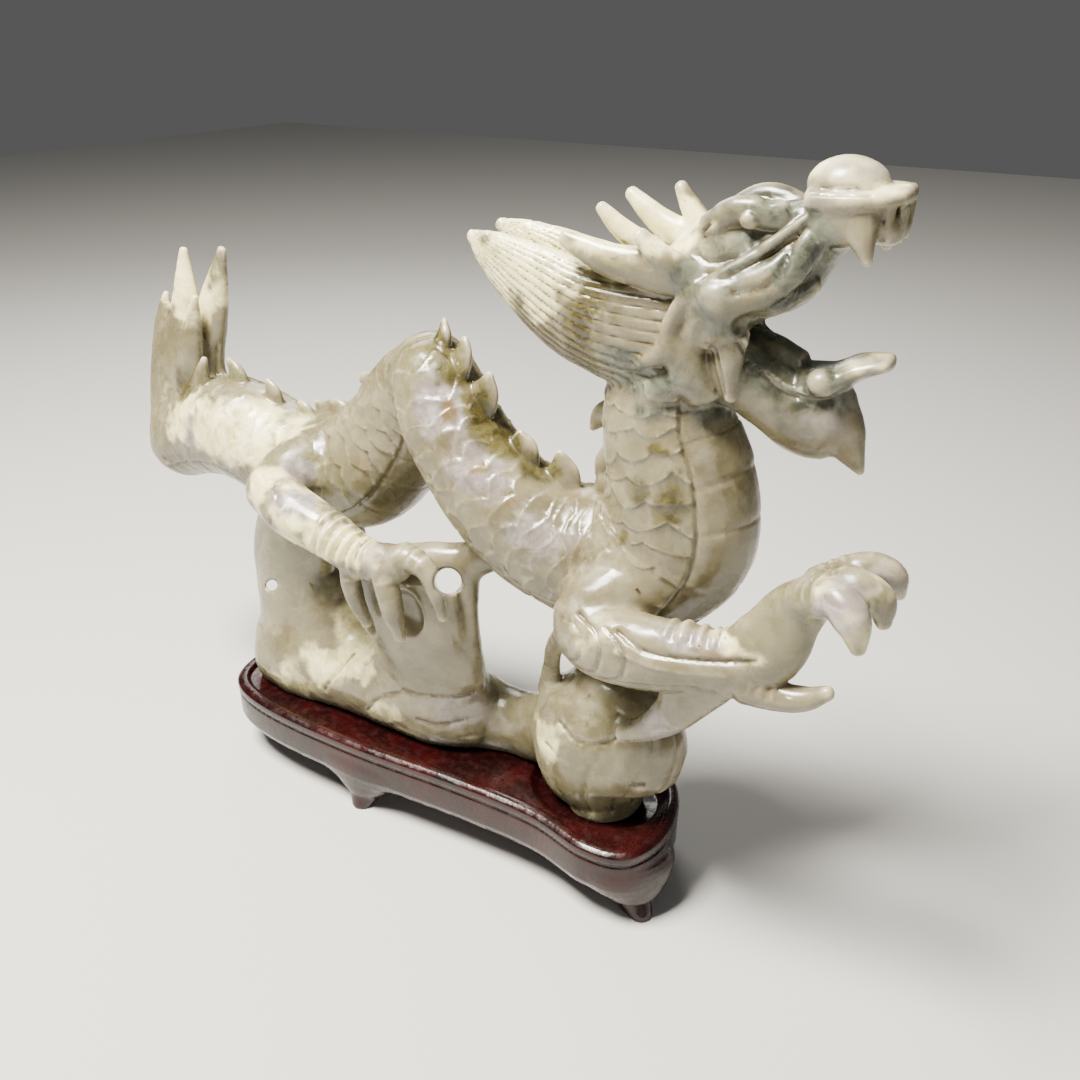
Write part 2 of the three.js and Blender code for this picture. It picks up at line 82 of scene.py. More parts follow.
# ---- Lofts ---------------------------------------------------------------------------------
def spline(points, t, slope=False):
    """Uniform Catmull-Rom through the rows of points, at t from 0 to 1."""
    p = np.asarray(points, float)
    p = np.vstack([2 * p[0] - p[1], p, 2 * p[-1] - p[-2]])
    n = len(points) - 1
    u = np.clip(np.asarray(t, float) * n, 0, n)
    i = np.minimum(u.astype(int), n - 1)
    w = (u - i)[:, None]
    a, b, c, d = p[i], p[i + 1], p[i + 2], p[i + 3]
    m0, m1 = 0.5 * (c - a), 0.5 * (d - b)
    quad, cube = -3 * b + 3 * c - 2 * m0 - m1, 2 * b - 2 * c + m0 + m1
    if slope:
        return n * (m0 + 2 * w * quad + 3 * w * w * cube)
    return b + w * m0 + w * w * quad + w ** 3 * cube


def unit(v):
    return v / np.maximum(np.linalg.norm(v, axis=-1, keepdims=True), 1e-9)


def head_place(points):
    """From the head's frame to the stand's: +X along the muzzle, +Z to the crown."""
    p = np.asarray(points, float)
    c, s = math.cos(HEAD_ROLL), math.sin(HEAD_ROLL)
    y, z = p[..., 1], p[..., 2]
    return np.stack([p[..., 0], y * c - z * s, y * s + z * c], -1) + HEAD_AT


class Tube:
    """Stations [x, y, z, half width, half height]. The width lies along side, the height across it.

    Each end is closed by a dome, cap deep in mm or a share of the girth. A section with square
    over 2 has flatter sides.
    """

    def __init__(self, stations, side=(0, 1, 0), head=False, dome=0.8, square=2.0, cap=None):
        s = np.array(stations, float)
        self.points, self.girth = s[:, :3], s[:, 3:5]
        self.side = np.array(side, float)
        if head:
            self.side = head_place(self.side) - HEAD_AT
            self.points = head_place(self.points)
        self.dome, self.square, self.cap = dome, square, cap

    def frame(self, t, twist=0.0):
        centre = spline(self.points, t)
        along = unit(spline(self.points, t, slope=True))
        across = unit(self.side - (along @ self.side)[:, None] * along)
        up = np.cross(along, across)
        c, s = math.cos(twist), math.sin(twist)
        return centre, along, across * c + up * s, up * c - across * s

    def mesh(self, sides=28, steps=7, domes=5):
        n = (len(self.points) - 1) * steps
        t = np.linspace(0, 1, n + 1)
        centre, along, across, up = self.frame(t)
        girth = spline(self.girth, t)
        a = np.arange(1, domes + 1) * math.pi / 2 / (domes + 1)
        deep = [self.cap or min(girth[k]) * self.dome for k in (0, -1)]
        at = np.r_[np.zeros(domes, int), np.arange(n + 1), np.full(domes, n)]
        shrink = np.r_[np.cos(a[::-1]), np.ones(n + 1), np.cos(a)]
        shift = np.r_[-np.sin(a[::-1]) * deep[0], np.zeros(n + 1), np.sin(a) * deep[1]]
        turn = np.linspace(0, 2 * math.pi, sides, endpoint=False)
        c = np.sign(np.cos(turn)) * np.abs(np.cos(turn)) ** (2 / self.square)
        s = np.sign(np.sin(turn)) * np.abs(np.sin(turn)) ** (2 / self.square)
        middle = centre[at] + along[at] * shift[:, None]
        w, h = girth[at, 0] * shrink, girth[at, 1] * shrink
        rings = middle[:, None] + across[at][:, None] * (w[:, None] * c)[..., None]
        rings = rings + up[at][:, None] * (h[:, None] * s)[..., None]
        poles = [centre[0] - along[0] * deep[0], centre[-1] + along[-1] * deep[1]]
        return ring_mesh(rings, poles)

    def coords(self, points, samples=240):
        """For each point: length along the path, angle from up towards across, share of the girth."""
        t = np.linspace(0, 1, samples)
        centre, along, across, up = self.frame(t)
        length = np.r_[0, np.cumsum(np.linalg.norm(np.diff(centre, axis=0), axis=1))]
        reach = 1.5 * self.girth.max()
        close = ((points > centre.min(0) - reach) & (points < centre.max(0) + reach)).all(1)
        nearest = np.zeros(len(points), int)
        for part in np.array_split(np.flatnonzero(close), 1 + close.sum() // 20000):
            p = points[part]
            far = (p ** 2).sum(1)[:, None] - 2 * p @ centre.T + (centre ** 2).sum(1)
            nearest[part] = far.argmin(1)
        offset = points - centre[nearest]
        forward = (offset * along[nearest]).sum(1)
        girth = spline(self.girth, t)[nearest]
        a = (offset * across[nearest]).sum(1) / girth[:, 0]
        b = (offset * up[nearest]).sum(1) / girth[:, 1]
        before, after = (nearest == 0) & (forward < -2), (nearest == samples - 1) & (forward > 2)
        return {
            "s": length[nearest] + forward, "angle": np.arctan2(a, b), "rho": np.hypot(a, b),
            "girth": girth, "outside": ~close | before | after,
        }


def ring_mesh(rings, poles=None):
    """Closed rings of points, one after another, with a pole or nothing at each end."""
    count, sides = rings.shape[:2]
    k = np.arange(sides)
    nxt = (k + 1) % sides
    rows = np.arange(count - 1)[:, None] * sides
    quads = np.stack([rows + k, rows + nxt, rows + sides + nxt, rows + sides + k], -1).reshape(-1, 4)
    points = rings.reshape(-1, 3)
    triangles = np.zeros((0, 3), int)
    if poles is not None:
        first, last = len(points), (count - 1) * sides
        points = np.vstack([points, poles])
        triangles = np.vstack([
            np.stack([np.full(sides, first), nxt, k], -1),
            np.stack([np.full(sides, first + 1), last + k, last + nxt], -1),
        ])
    return points, triangles, quads


def ball(at, radii, head=False):
    """An ellipsoid, as two stations almost in one place with deep domes."""
    x, y, z = at
    return Tube(
        [[x - 0.05, y, z, radii[1], radii[2]], [x + 0.05, y, z, radii[1], radii[2]]],
        head=head, cap=radii[0],
    ).mesh(steps=1, domes=7)


def mirrored(stations):
    return [[s[0], -s[1], *s[2:]] for s in stations]


# ---- Distance field ------------------------------------------------------------------------
class Stone:
    """A solid as signed distances on a grid, in mm. Shapes join and cut it with a soft edge."""

    def __init__(self, low, high, cell):
        self.cell = cell
        self.first = np.floor(np.array(low) / cell).astype(int) - BAND
        shape = np.ceil(np.array(high) / cell).astype(int) + BAND - self.first
        self.values = np.full(shape, BAND * cell, np.float32)

    def sample(self, shape):
        points, triangles, quads = shape
        grid = openvdb.FloatGrid.createLevelSetFromPolygons(
            points.astype(np.float32), triangles.astype(np.uint32), quads.astype(np.uint32),
            openvdb.createLinearTransform(voxelSize=self.cell), halfWidth=BAND,
        )
        low, high = (np.array(corner) for corner in grid.evalActiveVoxelBoundingBox())
        low = np.maximum(low, self.first)
        high = np.minimum(high, self.first + self.values.shape - 1)
        new = np.empty(high - low + 1, np.float32)
        grid.copyToArray(new, ijk=tuple(int(v) for v in low))
        where = tuple(slice(a, b) for a, b in zip(low - self.first, high + 1 - self.first))
        return where, new

    def soft_least(self, a, b, blend):
        near = np.clip(blend - np.abs(a - b), 0, None)
        near[np.maximum(a, b) > 0.9 * BAND * self.cell] = 0
        return np.minimum(a, b) - near * near / (4 * blend)

    def join(self, shape, blend):
        where, new = self.sample(shape)
        self.values[where] = self.soft_least(self.values[where], new, blend)

    def cut(self, shape, blend):
        where, new = self.sample(shape)
        self.values[where] = -self.soft_least(-self.values[where], new, blend)

    def cut_below(self, z):
        height = (np.arange(self.values.shape[2]) + self.first[2]) * self.cell
        self.values = np.maximum(self.values, (z - height).astype(np.float32))

    def join_field(self, other, blend):
        self.values = self.soft_least(self.values, other.values, blend)

    def polygons(self):
        grid = openvdb.FloatGrid(BAND * self.cell)
        grid.copyFromArray(self.values, ijk=tuple(int(v) for v in self.first))
        grid.transform = openvdb.createLinearTransform(voxelSize=self.cell)
        return grid.convertToPolygons()


# ---- The dragon's body ---------------------------------------------------------------------
REAR_BODY = [
    [-228, 20, 180, 22, 26], [-200, 18, 192, 25, 30], [-168, 16, 199, 28, 33],
    [-130, 15, 191, 30, 31], [-98, 15, 187, 32, 32], [-68, 16, 194, 33, 35],
    [-44, 18, 218, 30, 33], [-24, 15, 248, 26, 28], [-6, 5, 268, 20, 20],
]
FRONT_BODY = [
    [-2, -2, 272, 19, 19], [7, -9, 265, 23, 23], [16, -12, 249, 25, 26], [31, -13, 230, 27, 27],
    [51, -12, 210, 29, 30], [72, -7, 195, 31, 32], [96, -2, 189, 33, 35], [122, 0, 188, 32, 36],
]
NECK = [
    [128, 0, 188, 31, 36], [142, 0, 212, 30, 39], [141, 0, 242, 28, 37],
    [134, 0, 268, 26, 32], [134, 0, 298, 22, 27],
]
# Spikes along the back: place along the path, height, length.
REAR_SPIKES = [
    [0.17, 8, 16], [0.25, 11, 18], [0.32, 9, 18], [0.42, 7, 18], [0.52, 10, 22], [0.65, 9, 18],
    [0.8, 5, 16],
]
FRONT_SPIKES = [[0.04, 9, 18], [0.13, 10, 22], [0.24, 12, 28], [0.47, 6.5, 30], [0.62, 12, 28]]
FRONT_LEAN = math.radians(10)  # the front ridge turns towards -Y as it rises
FRONT_LEAN_DROP = math.radians(30)  # and back towards +Y down the body
NECK_SPIKES = [[0.4, 8, 20], [0.58, 10, 18], [0.74, 10, 18]]
TAIL_STEM = [
    [-229, 20, 174, 20, 24], [-223, 22, 206, 14, 31], [-217, 24, 238, 11, 31], [-211, 25, 260, 8, 25],
]
TAIL_FLAMES = [
    [[-221, 24, 236, 8, 15], [-214, 25, 272, 6, 11], [-211, 26, 304, 2, 3]],
    [[-203, 24, 236, 8, 15], [-189, 25, 274, 6, 11], [-176, 25, 308, 2, 3]],
    [[-237, 24, 232, 7, 10], [-237, 25, 256, 5, 7], [-233, 26, 274, 2, 2]],
    [[-207, 13, 222, 8, 12], [-198, 11, 252, 6, 9], [-190, 12, 280, 2, 2]],
    [[-199, 10, 204, 7, 10], [-191, 8, 226, 5, 7], [-186, 9, 243, 2, 2]],
]


def ridge(body, spikes, twist=0.0, twist_drop=0.0):
    """Spikes stand along up and lean towards the tail. The twist turns them round the path."""
    shapes = []
    for t, height, length in spikes:
        centre, along, across, up = (v[0] for v in body.frame([t], twist - twist_drop * t))
        skin = spline(body.girth, [t])[0, 1]
        places = [
            (skin - 7, -length * 0.2), (skin + height * 0.35, -length * 0.05),
            (skin + height, height * 0.55),
        ]
        sizes = [(5, length / 2), (3.6, length * 0.34), (1.3, 1.8)]
        stations = [
            [*(centre + up * out - along * back), *size] for (out, back), size in zip(places, sizes)
        ]
        shapes.append(Tube(stations, side=across, dome=0.6))
    return shapes


# ---- Legs ----------------------------------------------------------------------------------
FORELEG = [
    [[134, -14, 190, 20, 22], [118, -31, 178, 18, 21], [113, -40, 172, 16, 18]],
    [
        [113, -40, 168, 15, 17], [127, -44, 168, 17, 19], [149, -45, 170, 16, 19], [171, -44, 174, 14, 17],
        [192, -41, 177, 12, 16], [206, -39, 189, 11, 17], [214, -38, 206, 10, 14], [223, -38, 218, 9, 10],
    ],
]
FORE_CLAWS = [
    [[199, -41, 168, 10, 10], [214, -42, 167, 7, 7], [226, -42, 170, 5.5, 5.5], [235, -42, 176, 3.2, 3.2]],
    [[219, -40, 216, 9, 9], [234, -47, 224, 8.5, 8.5], [244, -52, 218, 7.5, 7.5], [247, -52, 207, 3.5, 3.5]],
    [[224, -37, 220, 8, 8], [238, -39, 228, 7.5, 7.5], [249, -37, 223, 7, 7], [252, -36, 213, 3.5, 3.5]],
    [[222, -31, 220, 8, 8], [238, -26, 230, 7, 7], [249, -21, 227, 6.5, 6.5], [253, -20, 219, 3, 3]],
]
FAR_FORELEG = [
    [[136, 18, 192, 22, 24], [112, 36, 182, 17, 19], [94, 42, 172, 14, 15]],
    [[94, 42, 172, 13, 15], [84, 42, 150, 12, 13], [84, 38, 128, 10, 11], [90, 32, 110, 9, 10]],
]
FAR_FORE_CLAWS = [
    [[88 + x * 0.5, 33, 116, 6, 6], [89 + x, 38, 102, 5, 5], [89 + x, 36, 90, 3, 3]] for x in (-10, 0, 10)
]
HINDLEG = [
    [[-84, 6, 198, 24, 27], [-92, -20, 196, 18, 20], [-93, -34, 194, 15, 15]],
    [
        [-93, -37, 194, 14, 15], [-70, -43, 188, 15, 15], [-44, -44, 181, 13, 14],
        [-18, -45, 173, 11, 12], [3, -44, 176, 10, 10],
    ],
]
HIND_CLAWS = [
    [[-6, -45, 178, 8, 8], [0, -51, 168, 7, 7], [4, -52, 152, 6, 6], [5, -48, 134, 3.5, 3.5]],
    [[6, -42, 180, 8, 8], [21, -44, 178, 6, 6], [27, -44, 166, 5, 5], [29, -41, 150, 3, 3]],
    [[-20, -44, 172, 8, 8], [-27, -48, 164, 6, 6], [-25, -48, 148, 5, 5], [-22, -44, 132, 3, 3]],
]
FAR_HINDLEG = [
    [[-84, 22, 200, 24, 28], [-66, 46, 192, 17, 19], [-62, 54, 182, 13, 14]],
    [[-62, 54, 182, 13, 14], [-78, 52, 166, 12, 13], [-96, 42, 152, 10, 11], [-106, 32, 140, 9, 10]],
]
FAR_HIND_CLAWS = [
    [[-104 + x * 0.5, 34, 144, 6, 6], [-106 + x, 36, 130, 5, 5], [-107 + x, 32, 116, 3, 3]]
    for x in (-11, 0, 11)
]
THIGH_SIDE = (1, 0, 0.2)
SHIN_SIDE = (0.3, 1, 0.2)

# ---- Rock ----------------------------------------------------------------------------------
SADDLE = [
    [-128, 0, 58, 27, 26], [-108, 0, 62, 30, 32], [-66, -1, 66, 29, 30], [-24, -2, 66, 28, 30],
    [8, 0, 64, 24, 28], [34, 6, 60, 18, 21], [58, 6, 62, 16, 22], [84, 2, 70, 20, 27],
]
LEFT_ROCK = [
    [-106, 1, 60, 29, 42], [-106, 2, 84, 25, 48], [-112, 1, 108, 20, 39], [-114, -2, 132, 17, 32],
    [-106, -6, 154, 16, 28], [-98, -6, 176, 14, 22],
]
PILLAR = [
    [-4, -4, 62, 24, 36], [-5, -10, 88, 20, 36], [-7, -18, 112, 16, 36], [-8, -26, 138, 14, 38],
    [-8, -28, 160, 12, 36],
]
PILLAR_BRIDGE = [[-14, -26, 164, 10, 10], [8, -22, 170, 9, 10], [26, -16, 172, 9, 10], [40, -12, 178, 9, 10]]
PILLAR_EDGE = [
    [36, -13, 178, 7, 7], [29, -16, 166, 7, 6.5], [26, -17, 148, 6, 8], [25, -16, 122, 7, 9],
    [25, -12, 98, 9, 9],
]
SHELL = [
    [110, -6, 46, 22, 22], [106, -5, 60, 27, 38], [108, -3, 78, 30, 44], [114, -1, 94, 28, 42],
    [117, 2, 106, 22, 34],
]
CHEST_ROCK = [[104, 4, 90, 16, 32], [112, 4, 114, 12, 25], [113, 4, 140, 12, 24], [118, 2, 166, 14, 24]]
WISP = [
    [180, -43, 170, 10, 17], [171, -41, 154, 9, 14], [162, -38, 137, 8, 10], [149, -35, 122, 7, 7],
    [134, -32, 111, 6, 5],
]
STRUT = [[98, -28, 160, 5, 6], [84, -18, 138, 4, 5], [77, -10, 118, 4, 5], [72, -2, 98, 6, 8]]
PILLAR_SCOOPS = [[[2, -40, 142], [11, 9, 15]], [[-32, -36, 128], [8, 10, 15]]]
ROCK_HOLES = [[[-108, -30, 125], [-180, 36, 74], 3.6], [[40, -50, 178], [-10, 16, 136], 7]]

# ---- Head, in its own frame ----------------------------------------------------------------
MUZZLE = [
    [-20, 0, 4, 19, 24], [-2, 0, 26, 22, 26], [16, 0, 42, 21, 27], [33, 0, 50, 17, 23],
    [48, 0, 60, 14, 14], [62, 0, 66, 13, 9], [75, 0, 65, 10, 8],
]
LIP_PLATE = [[46, 0, 74, 15, 5], [60, 0, 75, 17, 4.5], [73, 0, 76, 14, 4], [80, 0, 77, 9, 3.5]]
LOWER_JAW = [
    [0, 0, 6, 21, 22], [18, 0, -1, 20, 19], [34, 0, -10, 17, 18], [48, 0, -17, 15, 20],
    [58, 0, -19, 12, 19],
]
JAW_LIP = [[50, 0, -2, 13, 7], [60, 0, 1, 13, 6], [70, 0, 7, 11, 5], [80, 0, 10, 8, 3.5]]
CHIN = [[57, 0, -14, 11, 13], [64, 0, -24, 8, 11], [69, 0, -32, 5, 7], [74, 0, -40, 2, 2]]
TONGUE = [[12, 0, 12, 9, 6], [30, 0, 9, 8, 6], [43, 0, 5, 6, 5]]
BROW = [[5, -11, 60, 5, 6], [18, -13, 68, 5, 6], [31, -12, 67, 5, 5.5], [42, -8, 64, 4, 4]]
WHISKER = [
    [46, -12, 68, 1.8, 2], [31, -17.5, 55, 2.4, 2.6], [16, -22, 44, 2.8, 3], [5, -23, 35, 3, 3.4],
    [-2, -22, 25, 3, 3],
]
CHEEK_ROLL = [
    [48, -12, 58, 5, 6], [40, -17, 47, 6, 8], [27, -20, 38, 7, 10], [13, -21, 29, 8, 12],
    [7, -20, 18, 7, 9],
]
JAW_MUSCLE = [[0, -18, 22, 6, 7], [1, -20, 6, 6, 8], [7, -18, -10, 6, 9]]
JAW_FOLD = [[19, -19, 20, 4, 9], [20, -20, 6, 4, 6], [21, -20, -9, 2, 2.5]]
ANTLERS = [
    [[5, -18, 38, 6, 8], [-14, -21, 42, 6, 9], [-36, -23, 45, 5.5, 7.5], [-57, -23, 52, 3.5, 4]],
    [[-2, -20, 42, 6, 7], [-12, -24, 50, 5, 5.5], [-20, -25, 57, 3.5, 3.5]],
    [[0, 14, 38, 5, 8], [-16, 16, 45, 5, 8], [-33, 18, 53, 5, 6], [-47, 19, 63, 3.5, 3.5]],
    [[-6, 16, 46, 5, 6], [-16, 18, 58, 4.5, 5], [-23, 19, 68, 3, 3]],
    [[-32, 12, 40, 5, 6], [-47, 10, 49, 4.5, 5], [-57, 9, 58, 3, 3]],
]
MANE = [
    [2, -12, 12, 11, 25], [-26, -14, 12, 12, 27], [-54, -15, 16, 10, 24], [-80, -14, 27, 8, 19],
    [-102, -13, 38, 5, 11], [-115, -12, 45, 2, 3],
]
CHEEK_TUFTS = [
    [[-2, -18, 18, 6, 8], [-10, -25, 8, 4, 5], [-21, -25, 1, 1.5, 2]],
    [[2, -18, -2, 7, 9], [-12, -23, -10, 4, 6], [-30, -21, -21, 1.5, 2]],
]
FANG = [[65, -10, 68, 5, 8], [68, -12, 61, 4, 5.5], [71, -13, 53, 1.6, 2]]
TEETH = [
    [[x, y, 73, 2.4, 2.4], [x, y, 66, 1.8, 1.8], [x, y, 60, 0.8, 0.8]]
    for x, y in ((72, -9), (76, -8), (80, -4), (80, 4), (76, 8))
]
NOSE = [[57, 0, 79], [16, 13, 10.5]]
THROAT = [[32, 0, 18], [18, 11, 10]]
LIP_FLANK = [[59, 10.5, 67], [13, 4.5, 10]]
EYE = [[24, 16.5, 66], [4.5, 3.5, 4]]
LIP_BALL = [[57, -10, 1], [7, 6, 6]]
BROW_KNOBS = [
    [[14, -12, 67], [7, 5, 4]], [[24, -13, 71], [6, 4.5, 3.6]], [[33, -11, 70], [5, 4, 3.4]],
    [[41, -8, 68], [4.5, 4, 3.4]], [[24, -18.5, 67], [2.8, 2.4, 2.2]], [[15, -24, 34], [10, 6.5, 9]],
]
FACE_FOLDS = [
    [[6, -23, 38], [-3, -25, 28], [-7, -25, 16], [-4, -24, 4], [2, -22, -4]],
    [[20, -21.5, 22], [30, -19.5, 28], [42, -15, 35], [50, -9, 41]],
]
FACE_SCOOPS = [
    [[12, -27, 56], [11, 6, 7]], [[27, -24, 57], [7, 5, 4]], [[34, -25, 24], [12, 8, 8]],
    [[9, -30, 12], [5, 5, 14]],
]


def both_sides(shape):
    (x, y, z), radii = shape
    return [[[x, side * y, z], radii] for side in (-1, 1)]


def new_stone():
    return Stone(*STONE_BOUNDS, STONE_CELL)


def carve_head():
    head = new_stone()
    for stations in (MUZZLE, LOWER_JAW):
        head.join(Tube(stations, head=True).mesh(), 4)
    for stations in (JAW_LIP, CHIN):
        head.join(Tube(stations, head=True).mesh(), 3)
    head.join(Tube(LIP_PLATE, head=True, square=3).mesh(), 1.5)
    head.join(ball(*NOSE, head=True), 1)
    for at, radii in both_sides(LIP_FLANK):
        head.join(ball(at, radii, head=True), 3)
    for stations in (MANE, mirrored(MANE)):
        head.join(Tube(stations, head=True).mesh(), 1.5)
    for stations in ANTLERS:
        head.join(Tube(stations, head=True).mesh(), 2)
    for table in (JAW_MUSCLE, CHEEK_ROLL):
        for stations in (table, mirrored(table)):
            head.join(Tube(stations, head=True).mesh(), 2)
    for table in (BROW, FANG, WHISKER):
        for stations in (table, mirrored(table)):
            head.join(Tube(stations, head=True).mesh(), 1)
    for stations in (JAW_FOLD, *CHEEK_TUFTS):
        head.join(Tube(stations, head=True).mesh(), 2.5)
    for stations in TEETH:
        head.join(Tube(stations, side=(1, 0, 0), head=True).mesh(), 0.6)
    for at, radii in both_sides(EYE):
        head.join(ball(at, radii, head=True), 0.8)
    head.join(ball(*LIP_BALL, head=True), 1.5)
    for at, radii in BROW_KNOBS:
        head.join(ball(at, radii, head=True), 1.2)
    for places in FACE_FOLDS:
        head.join(Tube([[*place, 2.6, 3.2] for place in places], head=True).mesh(), 2.5)
    for at, radii in FACE_SCOOPS:
        head.cut(ball(at, radii, head=True), 1.5)
    head.cut(ball(*THROAT, head=True), 2)
    head.join(Tube(TONGUE, head=True).mesh(), 2)
    return head


def carve_rock():
    rock = new_stone()
    for stations in (SADDLE, LEFT_ROCK, PILLAR, CHEST_ROCK):
        rock.join(Tube(stations).mesh(), 8)
    for stations in (PILLAR_BRIDGE, PILLAR_EDGE, WISP, STRUT):
        rock.join(Tube(stations).mesh(), 4)
    rock.cut_below(STAND_FLOOR + CONTACT_GAP)
    shell = new_stone()
    shell.join(Tube(SHELL).mesh(), 2)
    shell.cut_below(POCKET_FLOOR + CONTACT_GAP)
    rock.join_field(shell, 3)
    return rock


def carve_dragon():
    stone = new_stone()
    bodies = [Tube(REAR_BODY), Tube(FRONT_BODY), Tube(NECK)]
    for tube in bodies:
        stone.join(tube.mesh(), 8)
    spikes = ridge(bodies[0], REAR_SPIKES) + ridge(bodies[2], NECK_SPIKES)
    spikes += ridge(bodies[1], FRONT_SPIKES, FRONT_LEAN, FRONT_LEAN_DROP)
    for tube in spikes:
        stone.join(tube.mesh(sides=20), 1.2)
    stone.join(Tube(TAIL_STEM).mesh(), 6)
    for stations in TAIL_FLAMES:
        stone.join(Tube(stations).mesh(), 2)
    limbs = [FORELEG, FAR_FORELEG, HINDLEG, FAR_HINDLEG]
    for thigh, shin in limbs:
        stone.join(Tube(thigh, side=THIGH_SIDE).mesh(), 6)
        stone.join(Tube(shin, side=SHIN_SIDE).mesh(), 4)
    for stations in FORE_CLAWS + HIND_CLAWS + FAR_FORE_CLAWS + FAR_HIND_CLAWS:
        stone.join(Tube(stations, side=SHIN_SIDE).mesh(), 2)
    stone.join_field(carve_rock(), 2.5)
    stone.join_field(carve_head(), 3)
    for scoop in PILLAR_SCOOPS:
        stone.cut(ball(*scoop), 2)
    for start, end, radius in ROCK_HOLES:
        stone.cut(Tube([[*start, radius, radius], [*end, radius, radius]], side=(1, 0, 0)).mesh(), 2)
    return stone, bodies


# ---- Surface relief ------------------------------------------------------------------------
def ease(x, low, high):
    t = np.clip((x - low) / (high - low), 0, 1)
    return t * t * (3 - 2 * t)


def waves(points, size, seed, count=24):
    """Smooth noise of about -1 to 1, with features of this size in mm."""
    rng = np.random.default_rng(seed)
    turn = unit(rng.normal(size=(count, 3))) * (2 * math.pi / size)
    direction = turn * rng.uniform(0.6, 1.4, (count, 1))
    phase = rng.uniform(0, 2 * math.pi, count)
    return np.sin(points @ direction.T + phase).sum(1) / math.sqrt(count / 2) * 0.6


def scales(s, c, pitch, wide, radius):
    """Overlapping discs in staggered rows, whose free edges point down s. Returns a height of 0 to 1."""
    height = np.zeros(len(s))
    taken = np.zeros(len(s), bool)
    first = np.floor((s + radius) / pitch)
    for k in range(5):
        row = first - k
        shift = np.where(row % 2 == 0, 0.0, 0.5)
        column = np.round(c / wide - shift) + shift
        away = np.hypot(s - row * pitch, (c - column * wide) * 0.95) / radius
        inside = (away <= 1) & ~taken
        rim = ease(away, 0.82, 0.95) * (1 - ease(away, 0.95, 1.0))
        height = np.where(inside, 0.15 + 0.55 * away ** 2 + 0.3 * rim, height)
        taken |= inside
    return height


def line_profile(x, width):
    return np.exp(-(x / width) ** 2)


def repeat(x, step):
    """Signed distance to the nearest multiple of step."""
    return x - np.round(x / step) * step


def engrave(points, normals, lines):
    """Each line is (places, width, height): it follows the skin near them. Below 0 it cuts."""
    height = np.zeros(len(points))
    for places, width, rise in lines:
        path = spline(places, np.linspace(0, 1, 12 * len(places)))
        near = np.flatnonzero(((points > path.min(0) - 9) & (points < path.max(0) + 9)).all(1))
        if not len(near):
            continue
        p, n = points[near], normals[near]
        far = (p ** 2).sum(1)[:, None] - 2 * p @ path.T + (path ** 2).sum(1)
        delta = p - path[far.argmin(1)]
        depth = (delta * n).sum(1)
        beside = np.linalg.norm(delta - depth[:, None] * n, axis=1)
        height[near] += rise * line_profile(beside, width) * (1 - ease(np.abs(depth), 5, 9))
    return height


def on_skin(at, low=0.05, high=0.14):
    return (1 - ease(np.abs(at["rho"] - 1), low, high)) * ~at["outside"]


BELLY_EDGE = 2.1  # angle from the back at which the belly plates begin
BELLY_PITCH = 19.0
SCALE_HEIGHT = 1.0
SCALE_PITCH = 10.5
SCALE_WIDTH = 20.0
SCALE_RADIUS = 12.6
WANDER = 3.2  # how far the rows of scales wander, in mm, over waves of WANDER_SIZE
WANDER_SIZE = 34


def body_relief(points, tube, seed):
    at = tube.coords(points)
    on = on_skin(at)
    s, angle = at["s"], at["angle"]
    round_mm = angle * at["girth"].mean(1)
    s = s + WANDER * waves(points, WANDER_SIZE, seed)
    round_mm = round_mm + WANDER * waves(points, WANDER_SIZE, seed + 1)
    belly = ease(np.abs(angle), BELLY_EDGE - 0.03, BELLY_EDGE + 0.03)
    back = ease(np.abs(angle), 0.15, 0.4)
    plates = -0.5 * line_profile(repeat(at["s"] + 4 * np.cos(angle), BELLY_PITCH), 1.1)
    seam = -1.0 * line_profile((np.abs(angle) - BELLY_EDGE) * at["girth"].mean(1), 1.0)
    rows = SCALE_HEIGHT * scales(s, round_mm, SCALE_PITCH, SCALE_WIDTH, SCALE_RADIUS)
    return on * (rows * (1 - belly) * back + plates * belly + seam)


def tube_lines(points, stations, count, depth, sharp, head=False, skew=0.0):
    """Lengthwise ridges round a tube, with sharp valleys between them."""
    at = Tube(stations, head=head).coords(points)
    phase = (at["angle"] + skew * at["s"]) * count / (2 * math.pi)
    valley = np.abs(2 * (phase - np.floor(phase)) - 1) ** sharp
    return -depth * valley * on_skin(at, 0.08, 0.2)


def cross_ribs(points, stations, side, start, end, step, depth, angle, spread):
    """Short ribs across a limb, between two lengths along it and round one angle."""
    at = Tube(stations, side=side).coords(points)
    along = ease(at["s"], start - 2, start + 2) * (1 - ease(at["s"], end - 2, end + 2))
    round_it = 1 - ease(np.abs(at["angle"] - angle), spread * 0.7, spread)
    wave = np.cos(2 * math.pi * (at["s"] - start) / step)
    return depth * wave * along * round_it * on_skin(at, 0.12, 0.3)


